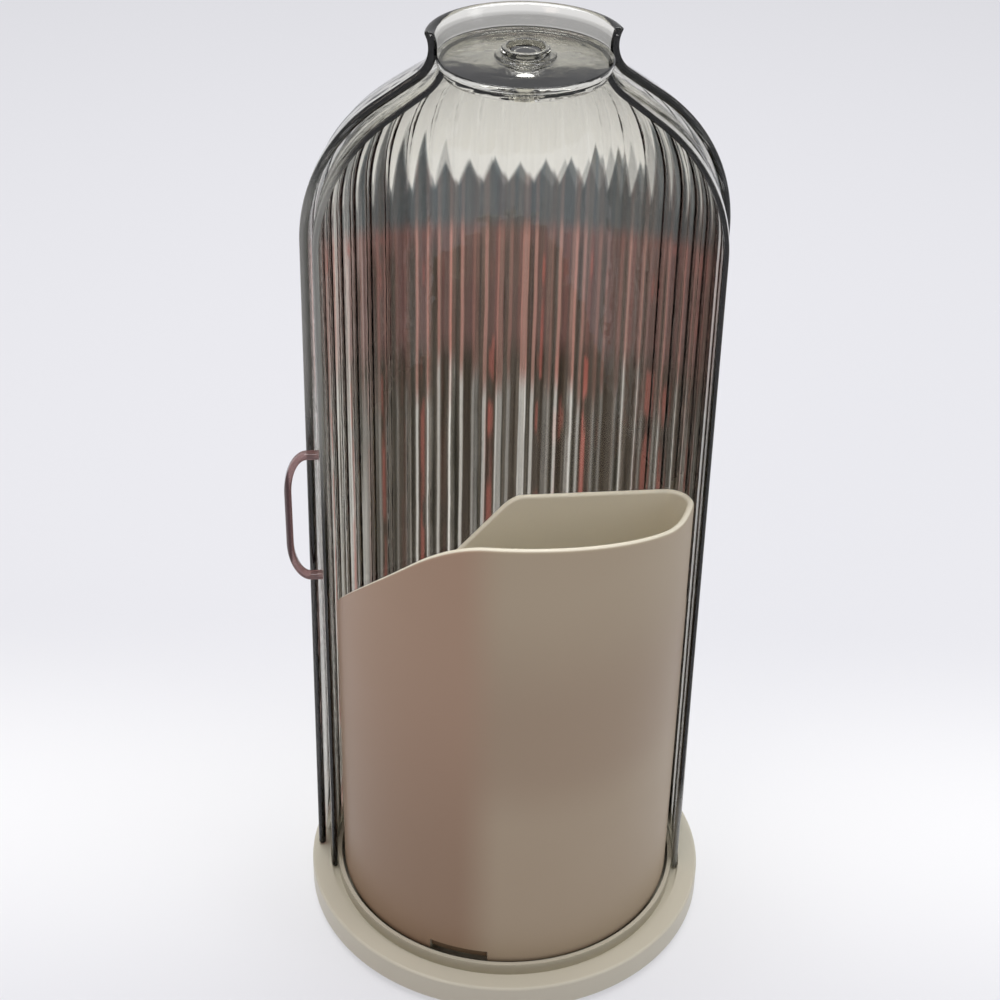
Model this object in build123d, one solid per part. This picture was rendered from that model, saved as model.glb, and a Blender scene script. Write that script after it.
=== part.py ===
from build123d import *
from math import acos, asin, atan2, cos, degrees, hypot, radians, sin, sqrt
import os

# Rotating makeup brush holder: a brush cup on a turntable, inside a clear fluted dome.
# The rear half of the dome stands on the base. The front half is a sliding door that hangs
# on a pin at the top and turns in a groove of the base. Here it is fully open.
# Millimetres, +Z up, origin at the middle of the underside, the front is -Y.
# Angles are degrees about +Z from +X. Azimuth 270 is the front.

# Base moulding
base_radius = 75.0
base_underside = 1.0
base_height = 11.0
base_wall = 2.4
base_foot_rounding = 2.0
base_rim_rounding = 1.0
rim_top = base_underside + base_height

# Rim of the base, then inwards the groove for the door and the ring round the cup's foot
rim_width = 7.1
groove_width = 2.8
groove_depth = 2.8
ring_wall = 1.5
ring_rise = 2.0
groove_outer_radius = base_radius - rim_width
ring_outer_radius = groove_outer_radius - groove_width
ring_inner_radius = ring_outer_radius - ring_wall
groove_floor = rim_top - groove_depth
ring_top = rim_top + ring_rise

# Fits
seat_gap = 0.05
running_fit = 0.08
screw_fit = 0.05
side_gap = 0.3
screw_tip_gap = 0.2

# How far a cutter passes the face that it cuts, and how far a root reaches into its wall
overcut = 1.0
thin_overcut = 0.01
root_depth = 0.5

# Cover and mat under the base
mat_inset = 9.0
cover_thickness = 2.0
cover_boss_radius = 4.0
cover_boss_gap = 1.2
cover_screw_count = 4
cover_head_recess = 0.2

# Screws: shank radius, head radius, head height
cover_screw = (1.3, 2.6, 1.2)
race_screw = (1.2, 2.2, 1.2)
spindle_screw = (1.6, 3.4, 2.0)
pivot_screw = (1.2, 4.2, 1.6)
screw_turn = 45.0

# Ball bearing of the turntable
ball_radius = 2.0
ball_count = 20
ball_ring_inset = 12.5
ball_clearance = 0.25
race_inner_width = 10.0
race_outer_width = 4.0
race_thickness = 2.8
race_gap = 1.6
cage_thickness = 1.0
cage_width = 6.8
race_screw_inset = 3.5
race_screw_count = 4
screw_skin = 0.8

# Turntable
turntable_thickness = 2.8
spindle_radius = 5.0
spindle_boss_wall = 4.0
spindle_hole_floor = 1.0
washer_radius = 7.8
washer_thickness = 1.0
hub_recess_gap = 0.7
hub_recess_depth = 4.3
hub_wall = 2.5
locating_rib = 0.6
locating_rib_height = 1.6

# Brush cup. Heights are from its underside; the divider is turned from the X axis by cup_turn.
cup_clearance = 1.1
cup_wall = 2.4
cup_floor = 2.4
skirt_drop = 4.7
cup_turn = 11.9
divider_offset = 13.9
divider_wall = 2.2
pocket_corner = 8.0
notch_width_angle = 20.2
notch_count = 3
notch_azimuth = 255.0
lug_recess = 0.9
lug_angle_gap = 0.6

# Rim of the front pocket: it falls to the back till it is level, and down an S at the left.
# The divider's rim is level too, and slopes down at its left end.
peak_height = 177.1
rim_fall = 0.354
level_height = 165.8
front_slope_start = -13.7
front_slope = 0.95
front_slope_turn = 45.0
front_shoulder = 40.0
tail_fall = 0.884
tail_azimuth = 162.0
divider_slope_start = -4.5
divider_slope = 1.05

# Rims of the rear pockets: the right one is higher and falls to the left one at the rear divider
right_rim_height = 120.4
left_rim_height = 92.4
rear_slope = 0.86
rear_slope_foot = 2.2
rear_shoulder = 14.0
rear_divider_drop = 6.0

# Clear dome: the rear shell's outer face, and drops from its top
dome_rise = 329.0
dome_foot_inset = 2.2
dome_lean = 1.8
shoulder_drop = 71.0
dome_curve = 60.0
neck_radius = 29.6
neck_curve = 10.0
neck_drop = 5.5
shell_wall = 2.8
rear_left_edge = 182.0
rear_right_edge = 14.0
tab_width = 12.0
tab_wall = 1.6
tab_length = 4.6
tab_root = 2.1
tab_count = 3

# Sliding door: it sits inside the rear shell
door_wall = 2.0
door_gap = 1.6
door_leading_edge = 190.5
door_overlap = 2.5

# Flutes of both shells
flute_pitch = 7.5
flute_cutter = 6.0
flute_depth = 0.7
flute_margin = 7.5
flute_foot_rise = 3.0
flute_end_gap = 10.8

# Top discs and the pin between them
disc_thickness = 2.2
disc_gap = 0.6
disc_bite = 0.4
rear_disc_drop = 9.2
pin_radius = 3.0
pin_head_radius = 4.9
pin_head_height = 1.8
pin_head_rounding = 0.5
collar_gap = 1.0
collar_wall = 1.6
collar_height = 3.0
collar_foot_width = 1.9
collar_foot_height = 0.8
spacer_width = 6.0
spacer_thickness = 0.4
door_hub_wall = 3.2
door_hub_length = 4.2
pivot_washer_overlap = 0.4
pivot_washer_thickness = 0.7
pivot_screw_depth = 4.5

# Handle on the door's leading edge
handle_setback = 4.5
handle_low = 143.5
handle_tall = 52.0
handle_stand = 8.2
handle_strip = 2.5
handle_depth = 3.6
handle_corner = 16.0
handle_edge_rounding = 0.9

# Heights that follow
cover_top = base_underside + cover_thickness
well_floor = 7.4
well_under = well_floor - base_wall
race_low_top = well_floor + race_thickness
ball_height = race_low_top + race_gap / 2
race_high_bottom = race_low_top + race_gap
turntable_bottom = race_high_bottom + race_thickness
cup_bottom = turntable_bottom + turntable_thickness
cup_inner_floor = cup_bottom + cup_floor
cup_peak = cup_bottom + peak_height
cup_level = cup_bottom + level_height
right_rim = cup_bottom + right_rim_height
left_rim = cup_bottom + left_rim_height
dome_top = rim_top + dome_rise
shoulder_z = dome_top - shoulder_drop
neck_z = dome_top - neck_drop
shell_foot = rim_top + seat_gap
flute_foot = rim_top + flute_foot_rise
rear_disc_under = dome_top - rear_disc_drop
rear_disc_top = rear_disc_under + disc_thickness
door_disc_top = rear_disc_under - disc_gap
door_disc_under = door_disc_top - disc_thickness
door_foot = groove_floor + side_gap

# Radii and angles that follow
cup_radius = ring_inner_radius - cup_clearance
cup_inner_radius = cup_radius - cup_wall
turntable_radius = cup_inner_radius - side_gap
ball_ring = cup_radius - ball_ring_inset
race_inner_radius = ball_ring - race_inner_width
race_outer_radius = ball_ring + race_outer_width
race_screw_ring = race_inner_radius + race_screw_inset
cover_boss_ring = ring_inner_radius - base_wall - cover_boss_gap - cover_boss_radius
spindle_boss_radius = spindle_radius + spindle_boss_wall
hub_recess_radius = washer_radius + hub_recess_gap
hub_radius = hub_recess_radius + hub_wall
dome_foot_radius = base_radius - dome_foot_inset
dome_shoulder_radius = dome_foot_radius - dome_lean
disc_radius = neck_radius - shell_wall + disc_bite
collar_recess = pin_head_radius + collar_gap
collar_radius = collar_recess + collar_wall
collar_foot_radius = collar_radius + collar_foot_width
door_hub_radius = pin_radius + door_hub_wall
door_foot_radius = ring_outer_radius + groove_width / 2 + door_wall / 2
door_inset = shell_wall + door_gap
handle_azimuth = door_leading_edge - handle_setback
rear_span = rear_left_edge - rear_right_edge
door_span = 360.0 - rear_span + 2 * door_overlap
door_travel = rear_right_edge + 360.0 + door_overlap - door_leading_edge

nodes = {}


def drum(radius, low, high):
    return Pos(0, 0, low) * extrude(Circle(radius), high - low)


def pipe(outer, inner, low, high):
    return drum(outer, low, high) - drum(inner, low - overcut, high + overcut)


def around(radius, azimuth):
    return Rot(0, 0, azimuth) * Pos(radius, 0, 0)


def turned(edges, span=360.0, start=0.0):
    section = Plane.XZ * make_face(edges)
    return Rot(0, 0, start) * revolve(section, Axis.Z, span)


def flat_screw(size, head_top, tip, up=1):
    """A screw on the Z axis: its head's flat face at head_top, its point at tip."""
    shank, head, height = size
    head_under = head_top - up * height
    low, high = sorted((head_under, head_top))
    body = drum(head, low, high)
    low, high = sorted((tip, head_under))
    return body + drum(shank, low, high)


def ring_copies(shape, radius, count, first=0.0):
    return [around(radius, first + 360.0 * i / count) * shape for i in range(count)]


# Dome profile: a wall line, a shoulder arc, a straight and a hollow arc into the neck
shoulder_centre = (dome_shoulder_radius - dome_curve, shoulder_z)
neck_centre = (neck_radius + neck_curve, neck_z)
centres_apart = hypot(neck_centre[0] - shoulder_centre[0], neck_centre[1] - shoulder_centre[1])
centres_angle = degrees(atan2(neck_centre[1] - shoulder_centre[1], neck_centre[0] - shoulder_centre[0]))
blend_angle = centres_angle - degrees(acos((dome_curve + neck_curve) / centres_apart))
flute_end_angle = blend_angle - flute_end_gap


def on_circle(centre, radius, angle):
    return (centre[0] + radius * cos(radians(angle)), centre[1] + radius * sin(radians(angle)))


def arc(centre, radius, start, end):
    middle = (start + end) / 2
    return ThreePointArc(*[on_circle(centre, radius, a) for a in (start, middle, end)])


def neck_angle(inset, height):
    """Angle on the hollow neck arc, at an inset from the outer face, of a height."""
    rise = (height - neck_z) / (neck_curve + inset)
    return 180.0 - degrees(atan2(rise, sqrt(1 - rise * rise)))


def meridian(inset, foot_radius, foot_z, height):
    """Edges of the dome's profile at an inset from the outer face, from its foot to a height."""
    shoulder = dome_curve - inset
    hollow = neck_curve + inset
    end = neck_angle(inset, height)
    edges = [
        Line((foot_radius, foot_z), on_circle(shoulder_centre, shoulder, 0)),
        arc(shoulder_centre, shoulder, 0, blend_angle),
        Line(on_circle(shoulder_centre, shoulder, blend_angle),
             on_circle(neck_centre, hollow, blend_angle + 180)),
        arc(neck_centre, hollow, blend_angle + 180, end),
    ]
    return edges, on_circle(neck_centre, hollow, end)


def shell_wall_solid(inset, wall, foot_radius, foot_z, outer_top, inner_top, span, start):
    """A dome wall with a round foot, turned through a span of azimuth."""
    foot_curve = wall / 2
    outer, outer_end = meridian(inset, foot_radius, foot_z + foot_curve, outer_top)
    inner, inner_end = meridian(inset + wall, foot_radius - wall, foot_z + foot_curve, inner_top)
    foot = ThreePointArc((foot_radius - wall, foot_z + foot_curve), (foot_radius - foot_curve, foot_z),
                         (foot_radius, foot_z + foot_curve))
    return turned(outer + inner + [foot, Line(outer_end, inner_end)], span, start)


def flute_cutters(inset, foot_radius):
    """Cutters of one flute at azimuth 0: a rod up the wall, a rod round the shoulder, a ball end."""
    proud = flute_cutter - flute_depth
    reach = dome_curve - inset + proud
    wall_path = Plane.XZ * Line((foot_radius + proud, flute_foot), on_circle(shoulder_centre, reach, 0))
    shoulder_path = Plane.XZ * arc(shoulder_centre, reach, 0, flute_end_angle)
    rods = [sweep(Plane(origin=path @ 0, z_dir=path % 0) * Circle(flute_cutter), path)
            for path in (wall_path, shoulder_path)]
    return rods + [Pos(*(shoulder_path @ 1)) * Sphere(flute_cutter)]


def fluted(shell, inset, foot_radius, start, span):
    """The shell with its flutes, spread evenly over a span of azimuth."""
    count = int((span - 2 * flute_margin) // flute_pitch) + 1
    first = start + (span - (count - 1) * flute_pitch) / 2
    for cutter in flute_cutters(inset, foot_radius):
        shell -= [Rot(0, 0, first + i * flute_pitch) * cutter for i in range(count)]
    return shell


# Base: tray, cover, screws and mat
tray_outline = [
    (0, well_floor), (ring_inner_radius, well_floor), (ring_inner_radius, ring_top),
    (ring_outer_radius, ring_top), (ring_outer_radius, groove_floor),
    (groove_outer_radius, groove_floor), (groove_outer_radius, rim_top), (base_radius, rim_top),
    (base_radius, base_underside), (base_radius - base_wall, base_underside),
    (base_radius - base_wall, rim_top - base_wall),
    (groove_outer_radius + ring_wall, rim_top - base_wall),
    (groove_outer_radius + ring_wall, groove_floor - base_wall),
    (ring_inner_radius - base_wall, groove_floor - base_wall),
    (ring_inner_radius - base_wall, well_under), (0, well_under),
]
tray = revolve(Plane.XZ * make_face(Polyline(*tray_outline, close=True)), Axis.Z)
rim_edge = tray.edges().filter_by(GeomType.CIRCLE).filter_by(
    lambda e: abs(e.radius - base_radius) < 0.01)
tray = fillet(rim_edge.sort_by(Axis.Z)[-1], base_rim_rounding)
foot_edge = tray.edges().filter_by(GeomType.CIRCLE).filter_by(
    lambda e: abs(e.radius - base_radius) < 0.01 and e.center().Z < base_underside + 0.01)
tray = fillet(foot_edge, base_foot_rounding)

spindle_top = turntable_bottom + turntable_thickness - hub_recess_depth + side_gap
hub_bottom = well_floor + race_thickness + side_gap * 2
tray += drum(spindle_boss_radius, well_floor - root_depth, hub_bottom - side_gap)
tray += drum(spindle_radius, well_floor, spindle_top)
tray -= drum(spindle_screw[0] + screw_fit, well_floor + spindle_hole_floor, spindle_top + overcut)
tray += pipe(race_inner_radius - side_gap, race_inner_radius - side_gap - locating_rib,
             well_floor - root_depth, well_floor + locating_rib_height)
for boss in ring_copies(drum(cover_boss_radius, cover_top, well_floor - root_depth), cover_boss_ring,
                        cover_screw_count, screw_turn):
    tray += boss
cover_screw_tip = well_floor - screw_skin
cover_hole_end = cover_screw_tip + screw_tip_gap
for hole in ring_copies(drum(cover_screw[0] + screw_fit, cover_top - overcut, cover_hole_end),
                        cover_boss_ring, cover_screw_count, screw_turn):
    tray -= hole
race_screw_tip = well_under + side_gap
for hole in ring_copies(drum(race_screw[0] + screw_fit, well_under - overcut, well_floor + overcut),
                        race_screw_ring, race_screw_count):
    tray -= hole
tab_radius = dome_foot_radius - shell_wall / 2
tab_middle = rear_right_edge + rear_span / 2
tab_step = rear_span / tab_count
tab_azimuths = [tab_middle + tab_step * (i - (tab_count - 1) / 2) for i in range(tab_count)]
for azimuth in tab_azimuths:
    slot = Box(tab_wall + 2 * side_gap, tab_width + 2 * side_gap, 3 * base_wall)
    tray -= around(tab_radius, azimuth) * Pos(0, 0, rim_top) * slot
nodes["base_tray"] = tray

cover = drum(base_radius - base_wall - side_gap, base_underside, cover_top)
cover_head_top = base_underside + cover_head_recess
cover_hole = drum(cover_screw[0] + screw_fit, 0, cover_top + overcut)
cover_sink = drum(cover_screw[1] + side_gap, 0, cover_head_top + cover_screw[2])
for hole in ring_copies(cover_hole + cover_sink, cover_boss_ring, cover_screw_count, screw_turn):
    cover -= hole
nodes["base_cover"] = cover
cover_screw_body = flat_screw(cover_screw, cover_head_top, cover_screw_tip, up=-1)
nodes["cover_screws"] = Compound(ring_copies(cover_screw_body, cover_boss_ring, cover_screw_count,
                                             screw_turn))
nodes["nonslip_mat"] = drum(base_radius - mat_inset, 0, base_underside)

# Bearing: two races, a cage and its balls
track = Pos(0, 0, ball_height) * Torus(ball_ring, ball_radius + ball_clearance)
head_sink = drum(race_screw[1] + side_gap, 0, race_screw[2])
shank_hole = drum(race_screw[0] + screw_fit, -race_thickness - overcut, overcut)
lower_race = pipe(race_outer_radius, race_inner_radius, well_floor, race_low_top) - track
upper_race = pipe(race_outer_radius, race_inner_radius, race_high_bottom, turntable_bottom) - track
for place in ring_copies(Pos(0, 0, race_low_top) * (shank_hole + Pos(0, 0, -race_screw[2]) * head_sink),
                         race_screw_ring, race_screw_count):
    lower_race -= place
upper_hole = Pos(0, 0, race_high_bottom) * (Rot(180, 0, 0) * shank_hole + head_sink)
for place in ring_copies(upper_hole, race_screw_ring, race_screw_count, screw_turn):
    upper_race -= place
nodes["lower_race"] = lower_race
nodes["upper_race"] = upper_race
low_screw = flat_screw(race_screw, race_low_top, race_screw_tip)
nodes["lower_race_screws"] = Compound(ring_copies(low_screw, race_screw_ring, race_screw_count))
high_tip = turntable_bottom + turntable_thickness - screw_skin
high_screw = flat_screw(race_screw, race_high_bottom, high_tip, up=-1)
nodes["upper_race_screws"] = Compound(ring_copies(high_screw, race_screw_ring, race_screw_count,
                                                  screw_turn))

cage = pipe(ball_ring + cage_width / 2, ball_ring - cage_width / 2,
            ball_height - cage_thickness / 2, ball_height + cage_thickness / 2)
pocket = drum(ball_radius + ball_clearance, 0, 2 * ball_height)
for hole in ring_copies(pocket, ball_ring, ball_count):
    cage -= hole
nodes["ball_cage"] = cage
ball = Pos(0, 0, ball_height) * Sphere(ball_radius)
nodes["bearing_balls"] = Compound(ring_copies(ball, ball_ring, ball_count))

# Turntable, held down on the spindle by a washer and a screw
turntable = drum(turntable_radius, turntable_bottom, cup_bottom)
turntable += drum(hub_radius, hub_bottom, cup_bottom)
turntable += pipe(race_inner_radius - side_gap, race_inner_radius - side_gap - locating_rib,
                  turntable_bottom - locating_rib_height, turntable_bottom + root_depth)
turntable -= drum(spindle_radius + running_fit, hub_bottom - overcut, cup_bottom + overcut)
turntable -= drum(hub_recess_radius, cup_bottom - hub_recess_depth, cup_bottom + overcut)
high_hole_end = high_tip + screw_tip_gap
for hole in ring_copies(drum(race_screw[0] + screw_fit, turntable_bottom - overcut, high_hole_end),
                        race_screw_ring, race_screw_count, screw_turn):
    turntable -= hole
lug_angle = notch_width_angle - lug_angle_gap
lug_face = cup_radius - lug_recess
lug_section = Rectangle(lug_face - turntable_radius + root_depth, turntable_thickness - side_gap,
                        align=Align.MIN)
lug_section = Plane.XZ * (Pos(turntable_radius - root_depth, turntable_bottom) * lug_section)
for i in range(notch_count):
    start = notch_azimuth + i * 360.0 / notch_count - lug_angle / 2
    turntable += Rot(0, 0, start) * revolve(lug_section, Axis.Z, lug_angle)
nodes["turntable"] = turntable
washer_top = spindle_top + washer_thickness
nodes["spindle_washer"] = pipe(washer_radius, spindle_screw[0] + screw_fit, spindle_top, washer_top)
spindle_screw_tip = well_floor + spindle_hole_floor + 2 * screw_tip_gap
nodes["spindle_screw"] = flat_screw(spindle_screw, washer_top + spindle_screw[2], spindle_screw_tip)

# Brush cup, modelled with its divider along X and turned into place
cup_skirt_bottom = cup_bottom - skirt_drop
reach = 2 * cup_radius


def pocket_outline(radius, edge, corner):
    """The front pocket in plan: a disc cut straight at the divider, with a round corner at the right."""
    outline = Circle(radius) & (Pos(0, -edge - reach / 2) * Rectangle(2 * reach, reach))
    return fillet(outline.vertices().sort_by(Axis.X)[-1], corner)


def above_line(points, plane):
    """All that lies above a line drawn on an upright plane, as far as the cup goes to both sides."""
    line = points if isinstance(points, Wire) else Polyline(*points)
    start, end = line @ 0, line @ 1
    cap = Polyline((end.X, end.Y), (end.X, 2 * cup_peak), (start.X, 2 * cup_peak), (start.X, start.Y))
    return extrude(plane * make_face([*line.edges(), *cap.edges()]), reach, both=True)


def falling(height, fall):
    """Two points of a line with this height on the axis, which falls along its plane's X."""
    return (-reach, height + fall * reach), (reach, height - fall * reach)


# Outer wall with the rim of the rear pockets
cup = drum(cup_radius, cup_skirt_bottom, right_rim) - drum(cup_inner_radius, cup_inner_floor, cup_peak)
cup -= drum(cup_inner_radius, cup_skirt_bottom - overcut, cup_bottom)
rear_slope_top = (right_rim - left_rim) / rear_slope - rear_slope_foot
rear_line = FilletPolyline((-reach, left_rim), (-rear_slope_foot, left_rim), (rear_slope_top, right_rim),
                           (reach, right_rim), radius=rear_shoulder)
cup -= above_line(rear_line, Plane.XZ)
inside = drum(cup_inner_radius + overcut, cup_inner_floor - overcut, cup_peak)
rear_top = left_rim - rear_divider_drop
rear_divider = Pos(0, reach / 2 - divider_offset - overcut, (cup_bottom + rear_top) / 2) * Box(
    divider_wall, reach, rear_top - cup_bottom)
cup += rear_divider & inside

# Wall of the front pocket. Its outer stretch goes on behind the divider, down to the left rim.
pocket_wall = pocket_outline(cup_radius, divider_offset, pocket_corner)
pocket_wall -= pocket_outline(cup_inner_radius, divider_offset + divider_wall, pocket_corner - cup_wall)
wall_height = cup_peak + overcut - cup_bottom
front = Pos(0, 0, cup_bottom) * extrude(pocket_wall, wall_height)
fall_plane = Plane.YZ.rotated((0, 0, -cup_turn))
falling_start = falling(cup_peak - rim_fall * cup_radius, rim_fall)[0]
level_start = ((cup_peak - cup_level) / rim_fall - cup_radius, cup_level)
front -= above_line([falling_start, level_start, (reach, cup_level)], fall_plane)
slope_run = (cup_peak - left_rim) / front_slope
slope_line = FilletPolyline((-3 * reach, cup_peak), (front_slope_start, cup_peak),
                            (front_slope_start + slope_run, left_rim), radius=front_shoulder)
slope_turn = radians(front_slope_turn)
slope_plane = Plane((0, 0, 0), x_dir=(-cos(slope_turn), sin(slope_turn), 0),
                    z_dir=(sin(slope_turn), cos(slope_turn), 0))
front -= above_line(slope_line, slope_plane)
divider_rise = falling(cup_level - divider_slope * divider_slope_start, -divider_slope)
divider_cutter = above_line(divider_rise, Plane.XZ)
divider_middle = divider_offset + divider_wall / 2
divider_zone = Pos(cup_inner_radius - pocket_corner - reach / 2, -divider_middle, cup_peak) * Box(
    reach, divider_wall + 2 * thin_overcut, 2 * reach)
front -= divider_cutter & divider_zone & drum(cup_inner_radius, 0, 2 * cup_peak)
tail_end = 180 + degrees(asin(divider_offset / cup_radius))
tail_section = Pos(cup_inner_radius, cup_bottom) * Rectangle(cup_wall, wall_height, align=Align.MIN)
tail_start = tail_azimuth - cup_turn
tail = Rot(0, 0, tail_start) * revolve(Plane.XZ * tail_section, Axis.Z, tail_end - tail_start + overcut)
tail_foot_y = cup_radius * sin(radians(tail_azimuth))
tail -= above_line(falling(left_rim + tail_fall * tail_foot_y, tail_fall), fall_plane)
cup += front
cup += tail
skirt_notch = Plane.XZ * (Pos(cup_inner_radius - overcut, cup_skirt_bottom - overcut) * Rectangle(
    cup_wall + 2 * overcut, skirt_drop + overcut, align=Align.MIN))
cup = Rot(0, 0, cup_turn) * cup
for i in range(notch_count):
    start = notch_azimuth + i * 360.0 / notch_count - notch_width_angle / 2
    cup -= Rot(0, 0, start) * revolve(skirt_notch, Axis.Z, notch_width_angle)
nodes["brush_cup"] = cup

# Rear shell: wall, top disc with its collar, and tabs in the base
rear = shell_wall_solid(0, shell_wall, dome_foot_radius, shell_foot, dome_top, dome_top,
                        rear_span, rear_right_edge)
rear = fluted(rear, 0, dome_foot_radius, rear_right_edge, rear_span)
rear += drum(disc_radius, rear_disc_under, rear_disc_top)
rear += pipe(collar_foot_radius, collar_recess, rear_disc_top, rear_disc_top + collar_foot_height)
rear += pipe(collar_radius, collar_recess, rear_disc_top, rear_disc_top + collar_height)
rear -= drum(pin_radius + screw_fit, rear_disc_under - overcut, rear_disc_top + overcut)
for azimuth in tab_azimuths:
    tab = Box(tab_wall, tab_width, tab_length + tab_root)
    rear += around(tab_radius, azimuth) * Pos(0, 0, shell_foot + (tab_root - tab_length) / 2) * tab
nodes["rear_shell"] = rear

# Door shell: wall, top disc with its hub
door_start = door_leading_edge - door_span
door = shell_wall_solid(door_inset, door_wall, door_foot_radius, door_foot, door_disc_top,
                        door_disc_under, door_span, door_start)
door = fluted(door, door_inset, door_foot_radius, door_start, door_span)
door_disc_radius = on_circle(neck_centre, neck_curve + door_inset, neck_angle(door_inset, door_disc_top))[0]
door += drum(door_disc_radius, door_disc_under, door_disc_top)
door += drum(door_hub_radius, door_disc_top - door_hub_length, door_disc_top)
door_hub_under = door_disc_top - door_hub_length
door -= drum(pin_radius + running_fit, door_hub_under - overcut, door_disc_top + overcut)
nodes["door_shell"] = door

# Handle: a D loop in the radial plane, seated on the door's face
handle_high = handle_low + handle_tall


def handle_side(grow):
    """Edges of one outline of the loop, drawn in by grow from the outer one."""
    low, high = handle_low + grow, handle_high - grow
    across, along = handle_stand - grow, handle_corner - grow
    root = door_foot_radius - door_wall
    leg_end = dome_shoulder_radius
    return [
        Line((root, low), (leg_end, low)),
        EllipticalCenterArc((leg_end, low + along), across, along, start_angle=270, arc_size=90),
        Line((leg_end + across, low + along), (leg_end + across, high - along)),
        EllipticalCenterArc((leg_end, high - along), across, along, start_angle=0, arc_size=90),
        Line((leg_end, high), (root, high)),
        Line((root, high), (root, low)),
    ]


loop = make_face(handle_side(0)) - make_face(handle_side(handle_strip))
handle = extrude(Plane.XZ * loop, handle_depth / 2, both=True)
handle = fillet(handle.edges().filter_by(Plane.XZ), handle_edge_rounding)
door_top_radius = dome_shoulder_radius - door_inset
door_body = turned([Line((0, door_foot), (door_foot_radius + seat_gap, door_foot)),
                    Line((door_foot_radius + seat_gap, door_foot), (door_top_radius + seat_gap, shoulder_z)),
                    Line((door_top_radius + seat_gap, shoulder_z), (0, shoulder_z)),
                    Line((0, shoulder_z), (0, door_foot))])
nodes["door_handle"] = Rot(0, 0, handle_azimuth) * handle - door_body

# Pin of the door
pin_end = door_hub_under - side_gap
pin = drum(pin_head_radius, rear_disc_top, rear_disc_top + pin_head_height)
pin += drum(pin_radius, pin_end, rear_disc_top + root_depth)
pivot_screw_tip = pin_end + pivot_screw_depth
pin -= drum(pivot_screw[0] + screw_fit, pin_end - overcut, pivot_screw_tip + 2 * screw_tip_gap)
nodes["pivot_pin"] = fillet(pin.edges().sort_by(Axis.Z)[-1], pin_head_rounding)
spacer_low = door_disc_top + (disc_gap - spacer_thickness) / 2
spacer_radius = pin_radius + spacer_width
nodes["pivot_spacer"] = pipe(spacer_radius, pin_radius + screw_fit, spacer_low, spacer_low + spacer_thickness)
washer_low = pin_end - pivot_washer_thickness
pivot_washer_radius = door_hub_radius + pivot_washer_overlap
nodes["pivot_washer"] = pipe(pivot_washer_radius, pivot_screw[0] + screw_fit, washer_low, pin_end)
nodes["pivot_screw"] = flat_screw(pivot_screw, washer_low - pivot_screw[2], pivot_screw_tip, up=-1)

os.makedirs("parts", exist_ok=True)
for name, shape in nodes.items():
    export_step(shape, f"parts/{name}.step")
print("door travel", round(door_travel, 2), "door span", round(door_span, 2), "blend", round(blend_angle, 2))
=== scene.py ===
import bmesh
import bpy
from math import acos, asin, atan2, cos, degrees, hypot, radians, sin, sqrt, tan
from mathutils import Matrix, Vector


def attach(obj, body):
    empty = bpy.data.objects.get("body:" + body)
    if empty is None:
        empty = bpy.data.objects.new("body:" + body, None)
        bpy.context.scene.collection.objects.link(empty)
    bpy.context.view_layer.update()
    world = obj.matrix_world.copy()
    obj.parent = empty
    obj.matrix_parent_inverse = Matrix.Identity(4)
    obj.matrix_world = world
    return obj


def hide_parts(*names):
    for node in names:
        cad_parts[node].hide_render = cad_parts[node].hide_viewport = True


# Rotating makeup brush holder: a brush cup on a turntable inside a clear fluted dome.
# Sizes are in millimetres and angles in degrees, but noise scales are per metre and lamps are in metres.
# A pair of numbers for a tone is where it starts and where it is complete.

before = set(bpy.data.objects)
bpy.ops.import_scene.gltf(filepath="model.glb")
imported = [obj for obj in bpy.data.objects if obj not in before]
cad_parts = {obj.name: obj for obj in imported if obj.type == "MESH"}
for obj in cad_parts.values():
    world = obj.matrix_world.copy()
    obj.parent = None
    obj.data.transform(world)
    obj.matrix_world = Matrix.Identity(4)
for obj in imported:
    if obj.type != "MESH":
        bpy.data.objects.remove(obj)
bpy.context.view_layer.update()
MM = 0.001

# Camera, fitted to the base, the rim and the top circles
camera_distance = 568.77
camera_height = 541.13
camera_pitch = 32.88
camera_roll = -1.25
camera_yaw = -0.487
focal_length = 70.13
sensor_width = 36.0

# Clear dome
foot_radius = 72.8
foot_z = 12.05
shoulder_radius = 71.0
shoulder_z = 270.0
dome_curve = 60.0
neck_radius = 29.6
neck_curve = 10.0
neck_z = 335.5
dome_top = 341.0
shell_wall = 2.8
rear_start = 14.0
rear_span = 168.0
lip_rounding = 1.0
edge_thickness_share = 0.02
cut_edge_steps = (0.0, 0.08, 0.25, 0.5, 0.8, 1.15)

# Sliding door
door_inset = 4.4
door_wall = 2.0
door_foot_radius = 67.5
door_foot_z = 9.5
door_start = -6.5
door_span = 197.0

# Flutes
flute_pitch = 7.5
flute_depth = 0.75
flute_foot = 18.0
flute_foot_steps = (0, 0.01, 0.02, 0.03, 0.04, 0.06)
flute_rise = 8.0
flute_full_angle = 24.0
flute_end_margin = 6.0
flute_fade_power = 1.3
flute_columns = 14
rear_first_flute = 23.0
door_first_flute = 2.0

# Top discs
disc_radius = 27.2
rear_disc_low = 331.8
disc_thickness = 2.2
door_disc_top = 331.2
collar_foot_radius = 9.4
collar_foot_height = 0.8
collar_radius = 7.5
collar_height = 3.0
collar_recess = 5.9
pin_bore = 3.05
door_pin_bore = 3.08
door_hub_radius = 6.2
door_hub_length = 4.2
disc_rounding = 0.5
disc_gap = 0.05
disc_step = 0.02

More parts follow.
